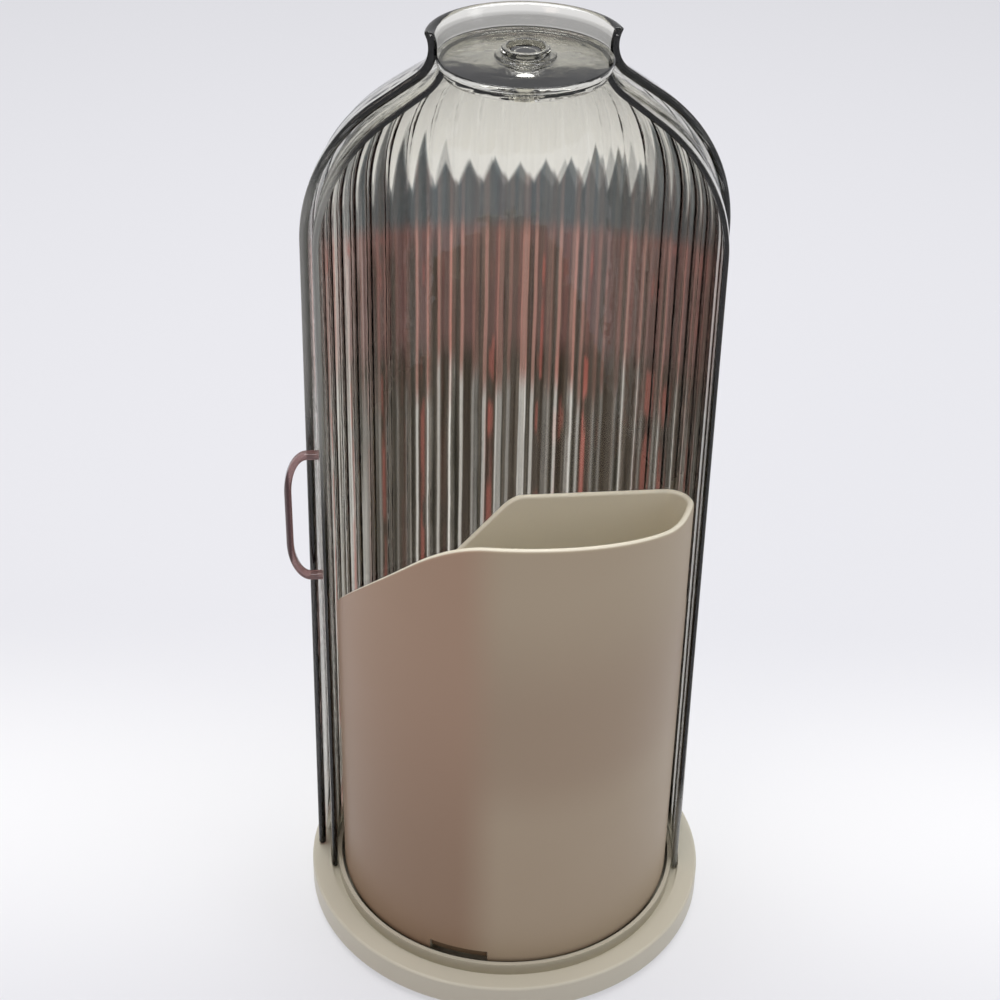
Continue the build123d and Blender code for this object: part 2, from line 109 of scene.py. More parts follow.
# Brush cup
cup_radius = 62.5
cup_wall = 2.4
cup_turn = 11.9
cup_floor_z = 20.0
cup_bottom = 17.6
skirt_bottom = 12.9
skirt_chamfer = 0.4
left_rim = 109.8
right_rim = 137.8
rear_slope = 0.86
rear_slope_foot = -2.2
peak_z = 194.7
rim_fall = 0.354
level_z = 185.1
level_fall = 0.055
level_blend = 2.5
slope_azimuth = 245.0
slope_z = 188.0
slope_rise = 0.857
shoulder_blend = 10.0
foot_blend = 7.0
divider_offset = 13.9
divider_wall = 2.2
corner_radius = 8.0
divider_slope_start = -3.7
divider_slope = 1.05
divider_blend = 4.0
rear_divider_top = 103.8
wall_overlap = 0.3
piece_overlap = 0.5
axis_gap = 0.01
notch_azimuth = 255.0
notch_angle = 20.2
notch_count = 3
smooth_angle = 35.0
cup_smooth_angle = 40.0

# Polished plastic
plastic_bend = 1.49
polish = 0.02
wave_scale = 90.0
wave_strength = 0.25
wave_height = 1.0
wave_range = (0.3, 0.7)
wave_gloss = (0.01, 0.035)
clear_top = (0.95, 0.94, 0.88)
clear_shade = (0.84, 0.83, 0.78)
clear_cloud_scale = 200.0

# Bands of smoky tint and painted reflections of the surroundings in the dome: heights at its back, which
# rise towards the front by their tilt
clear_z = 263.0
slate_z = 246.0
slate_blend = 4.0
mauve_z = 197.0
mauve_blend = 8.0
band_tilt = 0.3
left_side = (-50.0, -64.0)
right_side = (64.0, 69.0)
slate_smoke_and_reflection = (0.125, 0.155, 0.165)
mauve_smoke_and_reflection = (0.23, 0.13, 0.12)
olive_smoke_and_reflection = (0.07, 0.055, 0.042)
# Smoky tint with painted shade, dark green: beside the ridges, at the right side and in the neck band
green_smoke_and_shade = (0.045, 0.045, 0.036)
# Painted reflections in pale streaks and rosy spots, and painted highlights in streaks at the left
pale_painted_reflection = (0.27, 0.235, 0.20)
left_painted_highlight = (0.95, 0.95, 0.90)
rose_painted_reflection = (0.62, 0.22, 0.18)
# Share of the smoky tint with its painted reflections, shade and highlights on the door
door_smoke_and_reflection = 0.45

# Where painted shade makes the tint greener, and painted reflections make it paler or rosy: shares of a
# flute, heights and noise values
green_share = 0.8
green_ridge = (0.58, 0.70)
green_height = (250.0, 235.0)
pale_share = 0.5
pale_streak = (0.35, 0.65)
left_streak = (0.4, 0.56)
rose_share = 0.7
rose_luck = (0.55, 0.6)
rose_ridge = (0.35, 0.15)
rose_drift = (0.47, 0.55)
rose_blend = 8.0
streaks_per_flute = 7.0
streak_per_mm = 0.01
streak_detail = 3.0
drift_per_mm = 0.03
drift_detail = 1.0

# Bright lines of painted highlight on both sides of each ridge, and the spikes of smoky tint and painted
# reflection in the clear top
ridge_highlight = (0.98, 0.96, 0.90)
coral_highlight = (0.85, 0.50, 0.42)
line_place = 0.62
line_drift = 0.2
line_width = 0.24
line_core = 0.4
line_start = 22.0
line_seed = 0.37
line_lucky = (0.1, 0.7)
line_faintest = 0.2
line_top = (slate_z + 6, slate_z - 6)
line_top_strength = (0.15, 0.75)
white_line = (mauve_z + 4, mauve_z - 10)
white_line_gain = 0.33
spike_length = 7.0
spike_side = 44.0
spike_luck = (0.65, 1.35)
spike_blend = 1.5

# Painted shade in a band at the neck, and painted light on the cut edges of the dome
painted_neck_shade_band = (neck_z - 1.8, neck_z + 2.2)
neck_band_blend = 0.4
neck_band_share = 0.5
painted_edge_light = (0.52, 0.53, 0.50)
edge_lean = -0.035
edge_depth = (2.6, 1.2)
edge_side = (-20.0, -30.0)
edge_low = (150.0, 240.0)
edge_high = (310.0, 280.0)
edge_clearness = 0.5
door_edge_depth = (2.2, 1.2)
door_edge_side = (20.0, 30.0)
door_edge_high = (60.0, 35.0)

# Handle, whose tone of painted shade and reflection changes with the distance from the axis
handle_clearness = 0.6
handle_outer = (0.30, 0.26, 0.26)
handle_painted_shade = (0.07, 0.02, 0.02)
handle_painted_reflection = (0.40, 0.24, 0.23)
handle_inner_radius = (77.0, 77.8)
handle_outer_radius = (78.2, 78.9)

# Moulded plastic
moulded_specular = 0.4
cloud_scale = 14.0
cloud_detail = 3.0
cloud_range = (0.2, 0.8)
gloss_spread = 0.05
grain_scale = 900.0
grain_bump = 0.02
grain_depth = 0.5

# Cup: painted light makes it paler at its top and foot on the right and inside, and painted shade and
# reflection make it brown rising to warm on the left
cup_outside = (0.40, 0.30, 0.21)
cup_shade = (0.37, 0.28, 0.19)
cup_painted_light = (0.50, 0.41, 0.295)
cup_painted_warm_reflection = (0.46, 0.295, 0.205)
cup_painted_brown_shade = (0.31, 0.19, 0.12)
cup_inside_painted_light = (0.84, 0.78, 0.64)
cup_top = (120.0, 180.0)
cup_foot = (105.0, 75.0)
cup_foot_share = 0.6
cup_left = (0.0, -18.0)
cup_left_share = 0.9
cup_left_rise = (40.0, 160.0)
cup_cloud_share = 0.3
cup_skin = (cup_radius - 0.1, cup_radius - 0.5)

# Stage: the floor has a lighter band of painted light, and keeps part of its look where lamps don't reach
floor_color = (0.79, 0.79, 0.83)
painted_light_band = (0.93, 0.93, 0.95)
band_y = 30.0
band_width = 140.0
floor_size = 8000.0
floor_glow = 0.6
sky_color = (0.8, 0.8, 0.82)
sky_light = 0.25
sky_seen = 0.9
lamp_target = (0, 0, 0.15)


# Meshes
def new_object(name, vertices, faces):
    mesh = bpy.data.meshes.new(name)
    mesh.from_pydata([(x * MM, y * MM, z * MM) for x, y, z in vertices], [], faces)
    mesh.validate()
    mesh.update()
    piece = bpy.data.objects.new(name, mesh)
    bpy.context.scene.collection.objects.link(piece)
    return piece


def side_faces(size, rings, closed=False):
    """Faces between neighbouring rings of vertices, where each ring is a closed loop."""
    faces = []
    for i in range(rings if closed else rings - 1):
        here, after = i * size, (i + 1) % rings * size
        for j in range(size):
            k = (j + 1) % size
            faces.append((here + j, after + j, after + k, here + k))
    return faces


def join_solid(piece, other):
    """Union of two solids, so that clear plastic has no walls inside."""
    modifier = piece.modifiers.new("join", "BOOLEAN")
    modifier.operation = "UNION"
    modifier.solver = "EXACT"
    modifier.object = other
    graph = bpy.context.evaluated_depsgraph_get()
    mesh = bpy.data.meshes.new_from_object(piece.evaluated_get(graph))
    piece.modifiers.clear()
    piece.data = mesh
    bpy.data.objects.remove(other, do_unlink=True)


def joined(name, pieces):
    """One piece made of several closed meshes."""
    made = bmesh.new()
    for piece in pieces:
        made.from_mesh(piece.data)
        bpy.data.objects.remove(piece, do_unlink=True)
    mesh = bpy.data.meshes.new(name)
    bmesh.ops.recalc_face_normals(made, faces=made.faces)
    made.to_mesh(mesh)
    made.free()
    piece = bpy.data.objects.new(name, mesh)
    bpy.context.scene.collection.objects.link(piece)
    return piece


def smooth_by_angle(piece, angle=smooth_angle):
    piece.data.shade_smooth()
    piece.data.set_sharp_from_angle(angle=radians(angle))


def steps_between(start, end, count):
    return [start + (end - start) * i / count for i in range(count + 1)]


def on_circle(centre, radius, angle):
    return (centre[0] + radius * cos(radians(angle)), centre[1] + radius * sin(radians(angle)))


def half_way(first, second):
    return ((first[0] + second[0]) / 2, (first[1] + second[1]) / 2)


def towards(middle, point, share):
    """The place at a share of the way from the middle to the point."""
    return (middle[0] + (point[0] - middle[0]) * share, middle[1] + (point[1] - middle[1]) * share)


def turned(outline, azimuth):
    """An outline of (radius, z) points, set at an azimuth round the Z axis."""
    turn = radians(azimuth)
    return [(r * cos(turn), r * sin(turn), z) for r, z in outline]


def lathe(name, outline, segments=128):
    """A solid turned about Z from a closed outline of (radius, z) points off the axis."""
    vertices = []
    for i in range(segments):
        vertices += turned(outline, 360 * i / segments)
    return new_object(name, vertices, side_faces(len(outline), segments, closed=True))


def sector(name, outline, start, end, steps):
    """A closed outline of (radius, z) turned through part of a circle, with flat ends."""
    vertices = []
    for azimuth in steps_between(start, end, steps):
        vertices += turned(outline, azimuth)
    size = len(outline)
    faces = side_faces(size, steps + 1)
    faces.append(tuple(reversed(range(size))))
    faces.append(tuple(range(steps * size, steps * size + size)))
    return new_object(name, vertices, faces)


def rounded(corners, radius, steps=4, longest=0.45):
    """Points of a closed outline with each corner rounded."""
    points = []
    for i, corner in enumerate(corners):
        here = Vector(corner)
        before = Vector(corners[i - 1]) - here
        after = Vector(corners[(i + 1) % len(corners)]) - here
        half = before.angle(after) / 2
        reach = min(radius / tan(half), before.length * longest, after.length * longest)
        first = here + before.normalized() * reach
        last = here + after.normalized() * reach
        for t in steps_between(0, 1, steps):
            points.append(tuple((1 - t) ** 2 * first + 2 * t * (1 - t) * here + t * t * last))
    return points


# Profile of the dome
shoulder_centre = (shoulder_radius - dome_curve, shoulder_z)
neck_centre = (neck_radius + neck_curve, neck_z)
across = (neck_centre[0] - shoulder_centre[0], neck_centre[1] - shoulder_centre[1])
blend_angle = degrees(atan2(across[1], across[0]) - acos((dome_curve + neck_curve) / hypot(*across)))


def neck_end(inset, height):
    """Angle on the neck's hollow at which the wall reaches a height."""
    return 180.0 - degrees(asin((height - neck_z) / (neck_curve + inset)))


def share_of(value, start, end):
    """How far the value is on its way from start to end, from 0 to 1."""
    return min(1.0, max(0.0, (value - start) / (end - start)))


def meridian(inset, radius, low, height):
    """Points up the dome's profile, each with its flute strength."""
    shoulder = dome_curve - inset
    hollow = neck_curve + inset
    start = (radius, low)
    turn = on_circle(shoulder_centre, shoulder, 0)
    points = []
    for t in [*flute_foot_steps, *steps_between(0.1, 0.95, 17)]:
        r, z = towards(start, turn, t)
        points.append((r, z, share_of(z, flute_foot, flute_foot + flute_rise)))
    for angle in steps_between(0, blend_angle, 44):
        fade = share_of(angle, flute_full_angle, blend_angle + flute_end_margin)
        points.append((*on_circle(shoulder_centre, shoulder, angle), (1 - fade) ** flute_fade_power))
    straight_start = points[-1]
    straight_end = on_circle(neck_centre, hollow, blend_angle + 180)
    for t in steps_between(0, 1, 6)[1:-1]:
        points.append((*towards(straight_start, straight_end, t), straight_start[2] * (1 - t)))
    for angle in steps_between(blend_angle + 180, neck_end(inset, height), 18):
        points.append((*on_circle(neck_centre, hollow, angle), 0.0))
    return points


def scallop(azimuth, first):
    """Depth share of a flute: 1 at its middle, 0 on the ridge between two flutes."""
    phase = (azimuth - first) / flute_pitch
    off = phase - round(phase)
    return 1.0 - (2.0 * off) ** 2


def edge_columns(start, span, wall):
    """Azimuths of a shell's columns, with their distance from the nearest cut edge in mm."""
    per_mm = degrees(1.0 / shoulder_radius)
    near = [share * per_mm * wall / 2 for share in cut_edge_steps]
    count = int(span / flute_pitch * flute_columns)
    inner = [near[-1] + (span - 2 * near[-1]) * (i + 1) / (count + 1) for i in range(count)]
    offsets = near + inner + [span - s for s in reversed(near)]
    return [(start + s, min(s, span - s) / per_mm) for s in offsets]


def round_lip(outer, inner, lip):
    """Points over the top of a wall, from its outer profile to its inner one."""
    middle = half_way(outer[-1], inner[-1])
    along = Vector((outer[-1][0] - outer[-2][0], outer[-1][1] - outer[-2][1])).normalized() * lip
    spread = ((outer[-1][0] - inner[-1][0]) / 2, (outer[-1][1] - inner[-1][1]) / 2)
    return [(middle[0] + spread[0] * cos(radians(a)) + along[0] * sin(radians(a)),
             middle[1] + spread[1] * cos(radians(a)) + along[1] * sin(radians(a)))
            for a in steps_between(0, 180, 8)[1:-1]]


def cut_edge_faces(ring, pairs, cap_count):
    """Faces across a shell's cut edge, whose vertices run up the outer side and down the inner one."""
    outer_side = ring[:pairs]
    inner_side = ring[pairs + cap_count:2 * pairs + cap_count][::-1]
    faces = [[outer_side[i], outer_side[i + 1], inner_side[i + 1], inner_side[i]] for i in range(pairs - 1)]
    if cap_count:
        faces.append([outer_side[-1]] + ring[pairs:pairs + cap_count] + [inner_side[-1]])
    faces.append([inner_side[0]] + ring[2 * pairs + cap_count:] + [outer_side[0]])
    return faces


def shell(name, inset, wall, radius, low, outer_top, inner_top, start, span, lip):
    """A dome wall with round foot, lip and cut edges, fluted on its outer face."""
    half = wall / 2
    outer = meridian(inset, radius, low + half, outer_top)
    inner = meridian(inset + wall, radius - wall, low + half, inner_top)
    middles = [half_way(a, b) for a, b in zip(outer, inner)]
    foot_middle = (radius - half, low + half)
    foot = [on_circle(foot_middle, half, a) for a in steps_between(180, 360, 8)[1:-1]]
    cap = round_lip(outer, inner, lip) if lip else []
    flute_count = int((span - 2 * flute_pitch) // flute_pitch) + 1
    first = start + (span - (flute_count - 1) * flute_pitch) / 2
    last = first + (flute_count - 1) * flute_pitch
    columns = edge_columns(start, span, wall)
    vertices = []
    for azimuth, distance in columns:
        inside = max(0.0, half - distance)
        thickness = max(sqrt(half * half - inside * inside) / half, edge_thickness_share)
        fluted = first - flute_pitch / 2 < azimuth < last + flute_pitch / 2
        groove = flute_depth * scallop(azimuth, first) / half if fluted else 0.0
        loop = [towards(middle, point, thickness * (1 - groove * point[2]))
                for middle, point in zip(middles, outer)]
        loop += [towards(middles[-1], point, thickness) for point in cap]
        loop += [towards(middle, point, thickness) for middle, point in zip(middles[::-1], inner[::-1])]
        loop += [towards(foot_middle, point, thickness) for point in foot]
        vertices += turned(loop, azimuth)
    pairs = len(outer)
    size = 2 * pairs + len(cap) + len(foot)
    faces = side_faces(size, len(columns))
    first_ring = list(range(size))
    last_ring = [(len(columns) - 1) * size + i for i in first_ring]
    faces += cut_edge_faces(first_ring, pairs, len(cap))
    faces += [face[::-1] for face in cut_edge_faces(last_ring, pairs, len(cap))]
    return new_object(name, vertices, faces)


def rear_dome():
    top = dome_top - lip_rounding
    piece = shell("rear_dome", 0, shell_wall, foot_radius, foot_z, top, top, rear_start, rear_span,
                  lip_rounding)
    high = rear_disc_low + disc_thickness
    disc = lathe("rear_disc", rounded([
        (pin_bore, rear_disc_low), (disc_radius, rear_disc_low), (disc_radius, high),
        (collar_foot_radius, high), (collar_foot_radius, high + collar_foot_height),
        (collar_radius, high + collar_foot_height), (collar_radius, high + collar_height),
        (collar_recess, high + collar_height), (collar_recess, high), (pin_bore, high)], disc_rounding))
    join_solid(piece, disc)
    smooth_by_angle(piece)
    return piece


def door_dome():
    low = door_disc_top - disc_thickness
    piece = shell("door_dome", door_inset, door_wall, door_foot_radius, door_foot_z, door_disc_top, low,
                  door_start, door_span, 0)
    hollow_end = neck_end(door_inset, door_disc_top)
    rim = on_circle(neck_centre, neck_curve + door_inset, hollow_end)[0] - disc_gap
    hub_low = door_disc_top - door_hub_length
    high = door_disc_top - disc_step
    disc = lathe("door_disc", rounded([
        (door_pin_bore, hub_low), (door_hub_radius, hub_low), (door_hub_radius, low), (rim, low),
        (rim, high), (door_pin_bore, high)], disc_rounding))
    join_solid(piece, disc)
    smooth_by_angle(piece)
    return piece


# Brush cup: walls swept along plan paths, with a round lip at a height that varies
def soft_min(a, b, blend):
    overlap = max(blend - abs(a - b), 0.0)
    return min(a, b) - overlap * overlap / (4 * blend)


def soft_max(a, b, blend):
    return -soft_min(-a, -b, blend)


def front_top(y):
    """Height of the sloping rim, which falls from the front of the cup to its back."""
    return peak_z - rim_fall * (y + cup_radius)


def outer_rim(azimuth):
    """Height of the cup's rim on the outer wall, at an azimuth in the range 100 to 460."""
    level = level_z - level_fall * cup_radius * cos(radians(azimuth - cup_turn))
    slope = slope_z + slope_rise * cup_radius * radians(azimuth - slope_azimuth)
    top = soft_max(front_top(cup_radius * sin(radians(azimuth))), level, level_blend)
    return soft_max(soft_min(top, slope, shoulder_blend), left_rim, foot_blend)


def rear_rim(x):
    """Rim of the rear pockets, at a place across the cup's own frame."""
    sloped = left_rim + (x - rear_slope_foot) * rear_slope
    return soft_max(soft_min(right_rim, sloped, foot_blend), left_rim, foot_blend)


def wall(name, outer, inner, rims, low, levels=3, lip_steps=8):
    """A wall between two plan paths, from a low level to a rim height at each point."""
    vertices = []
    for (ox, oy), (ix, iy), rim in zip(outer, inner, rims):
        mx, my = half_way((ox, oy), (ix, iy))
        half = hypot(ox - ix, oy - iy) / 2
        column = [(ox, oy, level) for level in steps_between(low, rim - half, levels)]
        for angle in steps_between(0, 180, lip_steps)[1:-1]:
            c, s = cos(radians(angle)), sin(radians(angle))
            column.append((mx + (ox - mx) * c, my + (oy - my) * c, rim - half + half * s))
        column += [(ix, iy, level) for level in steps_between(rim - half, low, levels)]
        vertices += column
    size = len(vertices) // len(outer)
    last = (len(outer) - 1) * size
    faces = side_faces(size, len(outer))
    faces.append(tuple(range(size)))
    faces.append(tuple(reversed(range(last, last + size))))
    return new_object(name, vertices, faces)


def turned_point(x, y):
    """A point of the cup's own frame, in the frame of the holder."""
    turn = radians(cup_turn)
    return (x * cos(turn) - y * sin(turn), x * sin(turn) + y * cos(turn))


def turned_path(points):
    return [turned_point(x, y) for x, y in points]


def wrapped(azimuth):
    """The same azimuth between 100 and 460 degrees."""
    return (azimuth - 100.0) % 360.0 + 100.0


# Right corner of the tall pocket, in the cup's own frame
corner_y = -divider_offset - corner_radius
corner_x = sqrt((cup_radius - corner_radius) ** 2 - corner_y ** 2)
corner_azimuth = degrees(atan2(corner_y, corner_x))
slope_foot_azimuth = slope_azimuth - degrees((slope_z - left_rim) / (slope_rise * cup_radius))


def tall_path(radius, edge, corner):
    """Plan of the tall wall: round the front, round the right corner and back along the divider."""
    front = steps_between(slope_foot_azimuth - 360 - cup_turn, corner_azimuth, 150)
    points = [on_circle((0, 0), radius, azimuth) for azimuth in front]
    for azimuth in steps_between(corner_azimuth, 90, 14)[1:]:
        points.append(on_circle((corner_x, corner_y), corner, azimuth))
    left_end = -sqrt((cup_radius - cup_wall / 2) ** 2 - edge ** 2)
    for x in steps_between(corner_x, left_end, 90)[1:]:
        points.append((x, -edge))
    return points


def tall_rim(x, y):
    """Rim height of the tall wall at a point of the cup's own frame."""
    world_x, world_y = turned_point(x, y)
    azimuth = wrapped(degrees(atan2(world_y, world_x)))
    if hypot(x, y) > cup_radius - 0.01 and azimuth < 360:
        return outer_rim(azimuth)
    level = level_z - level_fall * x
    if x > divider_slope_start + 2 * divider_blend:
        return soft_max(front_top(world_y), level, level_blend)
    return soft_min(level, level_z + (x - divider_slope_start) * divider_slope, divider_blend)


def cup_skirt(inner_radius):
    """The skirt under the cup's floor, in one piece between each two notches."""
    outline = [(inner_radius, cup_bottom), (inner_radius, skirt_bottom + skirt_chamfer),
               (inner_radius + skirt_chamfer, skirt_bottom), (cup_radius - skirt_chamfer, skirt_bottom),
               (cup_radius, skirt_bottom + skirt_chamfer), (cup_radius, cup_bottom)]
    pieces = []
    for i in range(notch_count):
        start = notch_azimuth + i * 360 / notch_count + notch_angle / 2
        end = notch_azimuth + (i + 1) * 360 / notch_count - notch_angle / 2
        pieces.append(sector(f"skirt_{i}", outline, start, end, 80))
    return pieces


def brush_cup():
    inner_radius = cup_radius - cup_wall
    outer = tall_path(cup_radius, divider_offset, corner_radius)
    inner = tall_path(inner_radius, divider_offset + divider_wall, corner_radius - cup_wall)
    rims = [tall_rim(x, y) for x, y in outer]
    pieces = [wall("tall_wall", turned_path(outer), turned_path(inner), rims, cup_bottom)]

    azimuths = steps_between(corner_azimuth + wall_overlap, slope_foot_azimuth - cup_turn, 180)
    outer = [on_circle((0, 0), cup_radius, azimuth) for azimuth in azimuths]
    inner = [on_circle((0, 0), inner_radius, azimuth) for azimuth in azimuths]
    rims = [rear_rim(x) for x, y in outer]
    pieces.append(wall("low_wall", turned_path(outer), turned_path(inner), rims, cup_bottom))

    half = divider_wall / 2
    reach = inner_radius + piece_overlap
    ends = (-divider_offset - piece_overlap, reach)
    right_face = turned_path([(half, y) for y in ends])
    left_face = turned_path([(-half, y) for y in ends])
    pieces.append(wall("rear_divider", right_face, left_face, [rear_divider_top] * 2, cup_bottom))

    floor_outline = [(axis_gap, cup_bottom), (reach, cup_bottom), (reach, cup_floor_z),
                     (axis_gap, cup_floor_z)]
    pieces.append(lathe("cup_floor", floor_outline, 256))
    piece = joined("divided_cup", pieces + cup_skirt(inner_radius))
    smooth_by_angle(piece, cup_smooth_angle)
    return piece


# Materials
class Graph:
    """Short calls for the nodes of a material."""

    def __init__(self, made):
        self.nodes = made.node_tree.nodes
        self.links = made.node_tree.links
        self.shader = self.nodes.get("Principled BSDF")
        self.place = self.nodes.new("ShaderNodeTexCoord").outputs["Object"]

    def put(self, value, socket):
        if isinstance(value, bpy.types.NodeSocket):
            self.links.new(value, socket)
        elif isinstance(value, tuple):
            socket.default_value = (*value, 1)
        else:
            socket.default_value = value

    def shade(self, name, value):
        """Link a value to an input of the shader."""
        self.links.new(value, self.shader.inputs[name])

    def math(self, operation, *values):
        node = self.nodes.new("ShaderNodeMath")
        node.operation = operation
        for value, socket in zip(values, node.inputs):
            self.put(value, socket)
        return node.outputs["Value"]

    def times(self, value, *others):
        for other in others:
            value = self.math("MULTIPLY", value, other)
        return value

    def rise(self, value, start, end, low=0.0, high=1.0):
        """A smooth step of the value from low to high."""
        node = self.nodes.new("ShaderNodeMapRange")
        node.interpolation_type = "SMOOTHSTEP"
        for name, number in (("Value", value), ("From Min", start), ("From Max", end),
                             ("To Min", low), ("To Max", high)):
            self.put(number, node.inputs[name])
        return node.outputs["Result"]

    def mix(self, factor, first, second):
        node = self.nodes.new("ShaderNodeMix")
        node.data_type = "RGBA"
        self.put(factor, node.inputs["Factor"])
        self.put(first, node.inputs["A"])
        self.put(second, node.inputs["B"])
        return node.outputs["Result"]

    def axes(self):
        """The point's x, y and z in millimetres."""
        node = self.nodes.new("ShaderNodeSeparateXYZ")
        self.links.new(self.place, node.inputs["Vector"])
        return [self.math("MULTIPLY", axis, 1 / MM) for axis in node.outputs]

    def radius(self, x, y):
        """Distance from the Z axis."""
        return self.math("SQRT", self.math("ADD", self.math("MULTIPLY", x, x), self.math("MULTIPLY", y, y)))

    def vector(self, x, y, z):
        node = self.nodes.new("ShaderNodeCombineXYZ")
        for value, socket in zip((x, y, z), node.inputs):
            self.put(value, socket)
        return node.outputs["Vector"]

    def noise(self, vector, scale, detail=2.0):
        node = self.nodes.new("ShaderNodeTexNoise")
        self.links.new(vector, node.inputs["Vector"])
        node.inputs["Scale"].default_value = scale
        node.inputs["Detail"].default_value = detail
        return node.outputs["Fac"]

    def chance(self, value):
        node = self.nodes.new("ShaderNodeTexWhiteNoise")
        node.noise_dimensions = "1D"
        self.links.new(value, node.inputs["W"])
        return node.outputs["Value"]

    def seen(self):
        """1 for what the camera sees, straight or in a reflection or through plastic; 0 for light."""
        rays = self.nodes.new("ShaderNodeLightPath").outputs
        mirrored = self.math("MAXIMUM", rays["Is Glossy Ray"], rays["Is Transmission Ray"])
        return self.math("MAXIMUM", rays["Is Camera Ray"], mirrored)

    def relief(self, height, strength, distance):
        node = self.nodes.new("ShaderNodeBump")
        node.inputs["Strength"].default_value = strength
        node.inputs["Distance"].default_value = distance
        self.links.new(height, node.inputs["Height"])
        self.shade("Normal", node.outputs["Normal"])

    def waves(self):
        """The faint waves of polished plastic, in its relief and its gloss."""
        height = self.noise(self.place, wave_scale)
        self.shade("Roughness", self.rise(height, *wave_range, *wave_gloss))
        self.relief(height, wave_strength, wave_height * MM)


def material(name, color, roughness, **sockets):
    made = bpy.data.materials.new(name)
    made.use_nodes = True
    shader = made.node_tree.nodes["Principled BSDF"]
    shader.inputs["Base Color"].default_value = (*color, 1)
    shader.inputs["Roughness"].default_value = roughness
    for socket, value in sockets.items():
        shader.inputs[socket.replace("_", " ")].default_value = value
    return made


def moulded(name, color, darker, roughness, grain=grain_scale, bump=grain_bump, metallic=0.0):
    """Moulded plastic or plated steel: slight clouding of colour and roughness, and a fine grain."""
    made = material(name, color, roughness, Specular_IOR_Level=moulded_specular, Metallic=metallic)
    graph = Graph(made)
    cloud = graph.noise(graph.place, cloud_scale, cloud_detail)
    graph.shade("Base Color", graph.mix(cloud, color, darker))
    gloss = graph.rise(cloud, *cloud_range, roughness - gloss_spread, roughness + gloss_spread)
    graph.shade("Roughness", gloss)
    graph.relief(graph.noise(graph.place, grain), bump, grain_depth * MM)
    return made


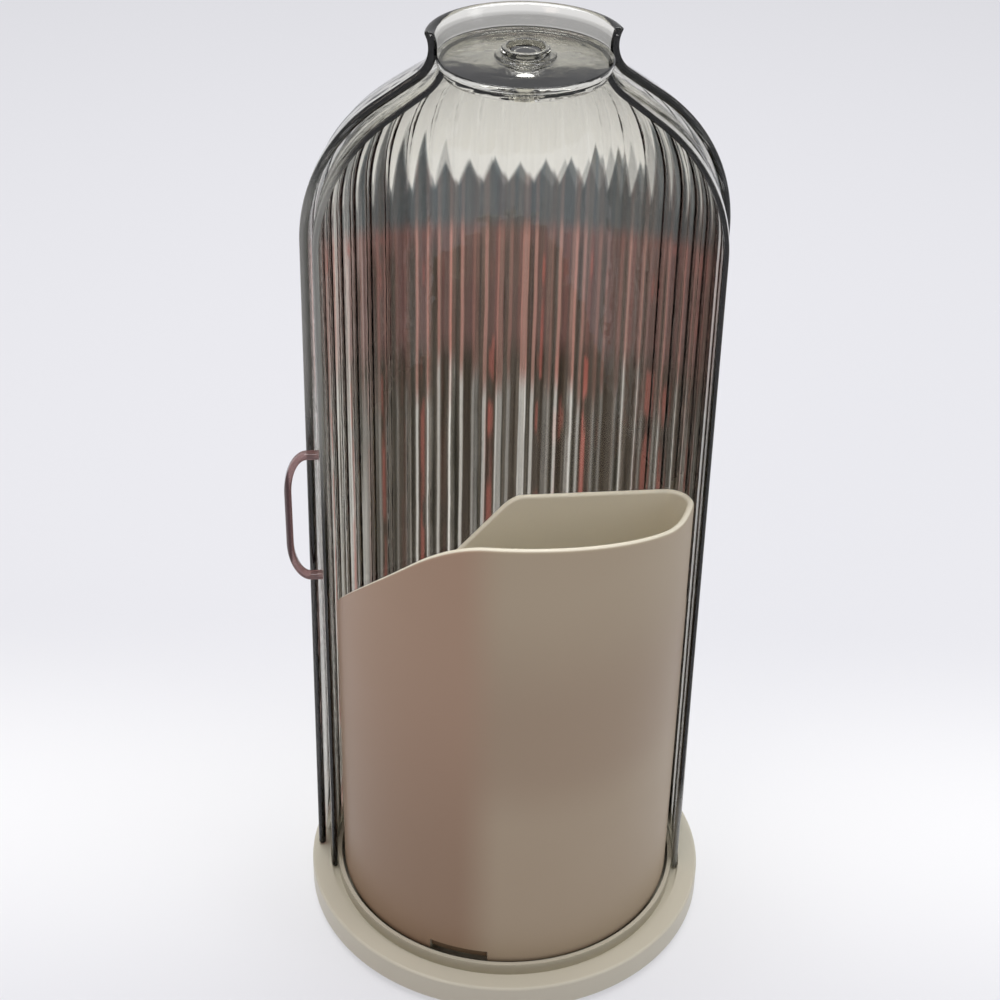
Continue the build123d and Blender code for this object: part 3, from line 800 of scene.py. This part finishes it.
class FlutePattern:
    """Tones of the smoky plastic with painted reflections, shade and highlights, from a point's place among
    the flutes.
    """

    def __init__(self, graph, first_flute):
        self.graph = graph
        self.x, self.y, self.height = graph.axes()
        turns = graph.times(graph.math("ARCTAN2", self.y, self.x), degrees(1) / flute_pitch)
        turns = graph.math("SUBTRACT", turns, first_flute / flute_pitch)
        cell = graph.math("ROUND", turns)
        off_middle = graph.math("ABSOLUTE", graph.math("SUBTRACT", turns, cell))
        self.ridge = graph.times(off_middle, 2.0)
        self.luck = graph.chance(cell)
        line_cell = graph.math("FLOOR", graph.times(turns, 2.0))
        self.line_luck = graph.chance(graph.math("ADD", line_cell, line_seed))
        self.streak = graph.noise(graph.vector(graph.times(turns, streaks_per_flute), self.luck,
                                               graph.times(self.height, streak_per_mm)), 1.0, streak_detail)
        self.drift = graph.noise(graph.vector(self.line_luck, self.luck,
                                              graph.times(self.height, drift_per_mm)), 1.0, drift_detail)
        self.right = graph.rise(self.x, *right_side)
        behind = graph.math("SUBTRACT", self.y, shoulder_radius)
        self.level = graph.math("ADD", self.height, graph.times(behind, band_tilt))

    def smoke_and_reflections(self):
        """Bands of smoky tint and painted reflection, with painted shade greener beside the ridges and at
        the right, painted reflections paler in streaks and rosy in spots, and painted highlights at the
        left.
        """
        graph = self.graph
        # Smoky tint and painted reflections of the surroundings, in bands by height
        tone = graph.mix(graph.rise(self.level, mauve_z - mauve_blend, mauve_z + mauve_blend),
                         olive_smoke_and_reflection, mauve_smoke_and_reflection)
        tone = graph.mix(graph.rise(self.level, slate_z - slate_blend, slate_z + slate_blend),
                         tone, slate_smoke_and_reflection)
        # Painted shade: greener beside the ridges, lower down
        green = graph.times(graph.rise(self.ridge, *green_ridge), graph.rise(self.height, *green_height))
        tone = graph.mix(graph.times(green, green_share), tone, green_smoke_and_shade)
        # Painted reflections: pale streaks
        pale = graph.times(graph.rise(self.streak, *pale_streak), pale_share)
        tone = graph.mix(pale, tone, pale_painted_reflection)
        # Painted highlights: pale streaks at the left side
        left = graph.times(graph.rise(self.x, *left_side), graph.rise(self.streak, *left_streak))
        tone = graph.mix(left, tone, left_painted_highlight)
        # Painted shade: greener at the right side
        tone = graph.mix(graph.times(self.right, green_share), tone, green_smoke_and_shade)
        # Painted reflections: rosy spots in the middle of some flutes, below the slate band
        rose = graph.times(graph.rise(self.luck, *rose_luck), graph.rise(self.ridge, *rose_ridge),
                           graph.rise(self.drift, *rose_drift),
                           graph.rise(self.level, slate_z, slate_z - rose_blend), rose_share)
        return graph.mix(rose, tone, rose_painted_reflection)

    def with_painted_highlights(self, smoke_and_reflections):
        """Painted highlights: bright lines beside the ridges, coral in the mauve band and white below it.
        """
        graph = self.graph
        drift = graph.times(graph.math("SUBTRACT", self.drift, 0.5), line_drift)
        place = graph.math("ADD", drift, line_place)
        away = graph.math("ABSOLUTE", graph.math("SUBTRACT", self.ridge, place))
        started = graph.math("ADD", self.level, graph.times(self.luck, line_start))
        whiter = graph.rise(started, *white_line)
        # Strength of the painted highlight lines
        line = graph.times(graph.rise(away, line_width, line_width * line_core),
                           graph.rise(self.line_luck, *line_lucky, line_faintest, 1.0),
                           graph.rise(self.right, 0.0, 1.0, 1.0, line_faintest),
                           graph.rise(self.level, *line_top, *line_top_strength),
                           graph.math("ADD", graph.times(whiter, white_line_gain), 1.0))
        return graph.mix(line, smoke_and_reflections, graph.mix(whiter, coral_highlight, ridge_highlight))

    def with_clear_top(self, smoke_and_reflections):
        """The clear top, into which each flute's smoky tint and painted reflection reaches as a spike,
        longer at the sides, with a band of painted shade at the neck.
        """
        graph = self.graph
        x_squared = graph.math("MULTIPLY", self.x, self.x)
        side = graph.math("DIVIDE", x_squared, graph.math("ADD", x_squared, graph.times(self.y, self.y)))
        reach = graph.math("ADD", graph.times(side, spike_side), spike_length)
        reach = graph.times(reach, graph.rise(self.luck, 0.0, 1.0, *spike_luck))
        spike = graph.times(graph.math("SUBTRACT", 1.0, self.ridge), reach)
        above = graph.math("SUBTRACT", self.height, graph.math("ADD", spike, clear_z))
        tone = graph.mix(graph.rise(above, -spike_blend, spike_blend), smoke_and_reflections, clear_top)
        # Painted shade: a dark band round the neck
        low, high = painted_neck_shade_band
        band = graph.times(graph.rise(self.height, low - neck_band_blend, low + neck_band_blend),
                           graph.rise(self.height, high + neck_band_blend, high - neck_band_blend))
        return graph.mix(graph.times(band, neck_band_share), tone, green_smoke_and_shade)

    def left_edge(self):
        """1 near the cut edge at the left, at the height of the shoulder."""
        graph = self.graph
        past_edge = graph.math("SUBTRACT", self.y, graph.times(self.x, edge_lean))
        return graph.times(graph.rise(past_edge, *edge_depth), graph.rise(self.x, *edge_side),
                           graph.rise(self.height, *edge_low), graph.rise(self.height, *edge_high))

    def right_foot(self):
        """1 near the foot of the door's cut edge at the right."""
        graph = self.graph
        past_edge = graph.math("SUBTRACT", self.y, graph.times(self.x, tan(radians(door_start))))
        return graph.times(graph.rise(past_edge, *door_edge_depth), graph.rise(self.x, *door_edge_side),
                           graph.rise(self.height, *door_edge_high))


def fluted_plastic(name, first_flute, strength, on_door):
    """Smoky clear plastic with painted reflections: each flute is a wide dark band of smoky tint and
    painted reflection between two bright lines of painted highlight, clear at the top, with painted light
    on the cut edges.
    """
    made = material(name, clear_top, polish, Transmission_Weight=1.0, IOR=plastic_bend)
    graph = Graph(made)
    pattern = FlutePattern(graph, first_flute)
    tone = graph.mix(strength, clear_top, pattern.with_clear_top(pattern.with_painted_highlights(pattern.smoke_and_reflections())))
    edge = pattern.left_edge()
    if on_door:
        edge = graph.math("MAXIMUM", edge, pattern.right_foot())
    # Painted light: a pale grey on the cut edges, where the plastic is also less clear
    graph.shade("Base Color", graph.mix(edge, tone, painted_edge_light))
    graph.shade("Transmission Weight", graph.rise(edge, 0.0, 1.0, 1.0, edge_clearness))
    graph.waves()
    return made


def clear_plastic():
    """Clear moulding of the pivot pieces, faintly clouded."""
    made = material("clear_plastic", clear_top, polish, Transmission_Weight=1.0, IOR=plastic_bend)
    graph = Graph(made)
    cloud = graph.noise(graph.place, clear_cloud_scale)
    graph.shade("Base Color", graph.mix(cloud, clear_top, clear_shade))
    graph.waves()
    return made


def handle_plastic():
    """Plastic of the handle, partly clear, with painted shade and reflection: grey outside, dark painted
    shade in the middle, a rosy painted reflection on the inner edge.
    """
    made = material("handle_plastic", handle_painted_shade, polish, Transmission_Weight=handle_clearness,
                    IOR=plastic_bend)
    graph = Graph(made)
    x, y, z = graph.axes()
    radius = graph.radius(x, y)
    # Painted shade dark in the middle, and a rosy painted reflection on the inner edge
    tone = graph.mix(graph.rise(radius, *handle_inner_radius), handle_painted_reflection, handle_painted_shade)
    graph.shade("Base Color", graph.mix(graph.rise(radius, *handle_outer_radius), tone, handle_outer))
    graph.waves()
    return made


def cup_plastic():
    """Moulded plastic of the cup: taupe outside, with painted shade and reflection warmer at the left, and
    painted light paler on the rim, the foot and inside.
    """
    made = moulded("cup_plastic", cup_outside, darker=cup_outside, roughness=0.45)
    graph = Graph(made)
    x, y, z = graph.axes()
    cloud = graph.noise(graph.place, cloud_scale, cloud_detail)
    # Painted light: paler at the top, and partly paler at the foot
    pale = graph.math("MAXIMUM", graph.rise(z, *cup_top), graph.rise(z, *cup_foot, 0.0, cup_foot_share))
    right = graph.mix(pale, cup_outside, cup_painted_light)
    # Painted shade and reflection on the left: brown low, rising to warm
    left = graph.mix(graph.rise(z, *cup_left_rise), cup_painted_brown_shade, cup_painted_warm_reflection)
    outside = graph.mix(graph.rise(x, *cup_left, 0.0, cup_left_share), right, left)
    # Painted light: paler inside the cup
    inside = graph.rise(graph.radius(x, y), *cup_skin)
    tone = graph.mix(inside, outside, cup_inside_painted_light)
    darker = graph.mix(inside, cup_shade, cup_inside_painted_light)
    graph.shade("Base Color", graph.mix(graph.times(cloud, cup_cloud_share), tone, darker))
    return made


clear = clear_plastic()
rear_clear = fluted_plastic("clear_plastic_rear", rear_first_flute, strength=1.0, on_door=False)
door_clear = fluted_plastic("clear_plastic_door", door_first_flute, strength=door_smoke_and_reflection, on_door=True)
handle_painted_plastic = handle_plastic()
greige = moulded("body_plastic", (0.68, 0.64, 0.53), darker=(0.65, 0.61, 0.50), roughness=0.35)
taupe = cup_plastic()
brown = moulded("turntable_plastic", (0.14, 0.09, 0.05), darker=(0.12, 0.075, 0.04), roughness=0.5)
white = moulded("inner_plastic", (0.72, 0.72, 0.70), darker=(0.68, 0.68, 0.66), roughness=0.4)
rubber = moulded("mat_rubber", (0.035, 0.035, 0.035), darker=(0.03, 0.03, 0.03), roughness=0.8,
                 grain=1500.0, bump=0.1)
steel = moulded("screw_steel", (0.62, 0.62, 0.62), darker=(0.55, 0.55, 0.56), roughness=0.3,
                metallic=1.0)

dressing = {
    "base_tray": greige, "base_cover": greige, "cover_screws": steel, "nonslip_mat": rubber,
    "lower_race": white, "upper_race": white, "lower_race_screws": steel, "upper_race_screws": steel,
    "ball_cage": white, "bearing_balls": steel, "turntable": brown, "spindle_washer": steel,
    "spindle_screw": steel, "door_handle": handle_painted_plastic, "pivot_pin": clear, "pivot_spacer": clear,
    "pivot_washer": clear, "pivot_screw": steel,
}
for node, made in dressing.items():
    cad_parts[node].data.materials.clear()
    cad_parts[node].data.materials.append(made)

for piece, node, body, made, slot in (
        (rear_dome(), "rear_shell", "base", rear_clear, "clear_plastic"),
        (door_dome(), "door_shell", "door", door_clear, "clear_plastic"),
        (brush_cup(), "brush_cup", "cup", taupe, "cup_plastic")):
    piece.data.materials.clear()
    piece.data.materials.append(made)
    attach(piece, body)
    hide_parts(node)


# Stage
def floor_material():
    """A pale floor that glows a little for the camera, in mirrors and through plastic."""
    made = material("floor", floor_color, roughness=0.9)
    graph = Graph(made)
    x, y, z = graph.axes()
    # Painted light: a lighter band across the floor near the object
    away = graph.math("ABSOLUTE", graph.math("SUBTRACT", y, band_y))
    tone = graph.mix(graph.rise(away, 0.0, band_width), painted_light_band, floor_color)
    graph.shade("Base Color", tone)
    glow = graph.nodes.new("ShaderNodeEmission")
    graph.links.new(tone, glow.inputs["Color"])
    glow.inputs["Strength"].default_value = 1.0
    blend = graph.nodes.new("ShaderNodeMixShader")
    graph.links.new(graph.times(graph.seen(), floor_glow), blend.inputs["Fac"])
    graph.links.new(graph.shader.outputs["BSDF"], blend.inputs[1])
    graph.links.new(glow.outputs["Emission"], blend.inputs[2])
    graph.links.new(blend.outputs["Shader"], graph.nodes["Material Output"].inputs["Surface"])
    return made


bpy.ops.mesh.primitive_plane_add(size=floor_size * MM, location=(0, 0, 0))
floor = bpy.context.object
floor.name = "floor"
floor.data.materials.append(floor_material())

world = bpy.context.scene.world or bpy.data.worlds.new("world")
bpy.context.scene.world = world
world.use_nodes = True
sky = world.node_tree.nodes["Background"]
sky.inputs["Color"].default_value = (*sky_color, 1)
sky_graph = Graph(world)
sky_graph.links.new(sky_graph.rise(sky_graph.seen(), 0.0, 1.0, sky_light, sky_seen), sky.inputs["Strength"])


def soft_box(name, place, size, power, color=(1, 1, 1)):
    """A rectangular lamp that faces the object."""
    data = bpy.data.lights.new(name, "AREA")
    data.shape = "RECTANGLE"
    data.size, data.size_y = size
    data.energy = power
    data.color = color
    lamp = bpy.data.objects.new(name, data)
    lamp.location = place
    lamp.rotation_euler = (Vector(lamp_target) - Vector(place)).to_track_quat("-Z", "Y").to_euler()
    bpy.context.scene.collection.objects.link(lamp)


soft_box("top", place=(0.0, 0.25, 1.7), size=(1.4, 1.2), power=30)
soft_box("front", place=(-0.7, -1.2, 0.9), size=(0.5, 0.9), power=2.5, color=(1.0, 0.84, 0.76))
soft_box("side", place=(1.2, -0.5, 0.8), size=(0.4, 1.0), power=2)

# Camera
eye = bpy.data.cameras.new("camera")
eye.lens = focal_length
eye.sensor_width = sensor_width
eye.clip_start = 0.01
camera = bpy.data.objects.new("camera", eye)
bpy.context.scene.collection.objects.link(camera)
camera.matrix_world = (Matrix.Translation((0, -camera_distance * MM, camera_height * MM))
                       @ Matrix.Rotation(radians(-camera_yaw), 4, "Z")
                       @ Matrix.Rotation(radians(90 - camera_pitch), 4, "X")
                       @ Matrix.Rotation(radians(-camera_roll), 4, "Z"))
bpy.context.scene.camera = camera
bpy.context.scene.view_settings.view_transform = "Standard"
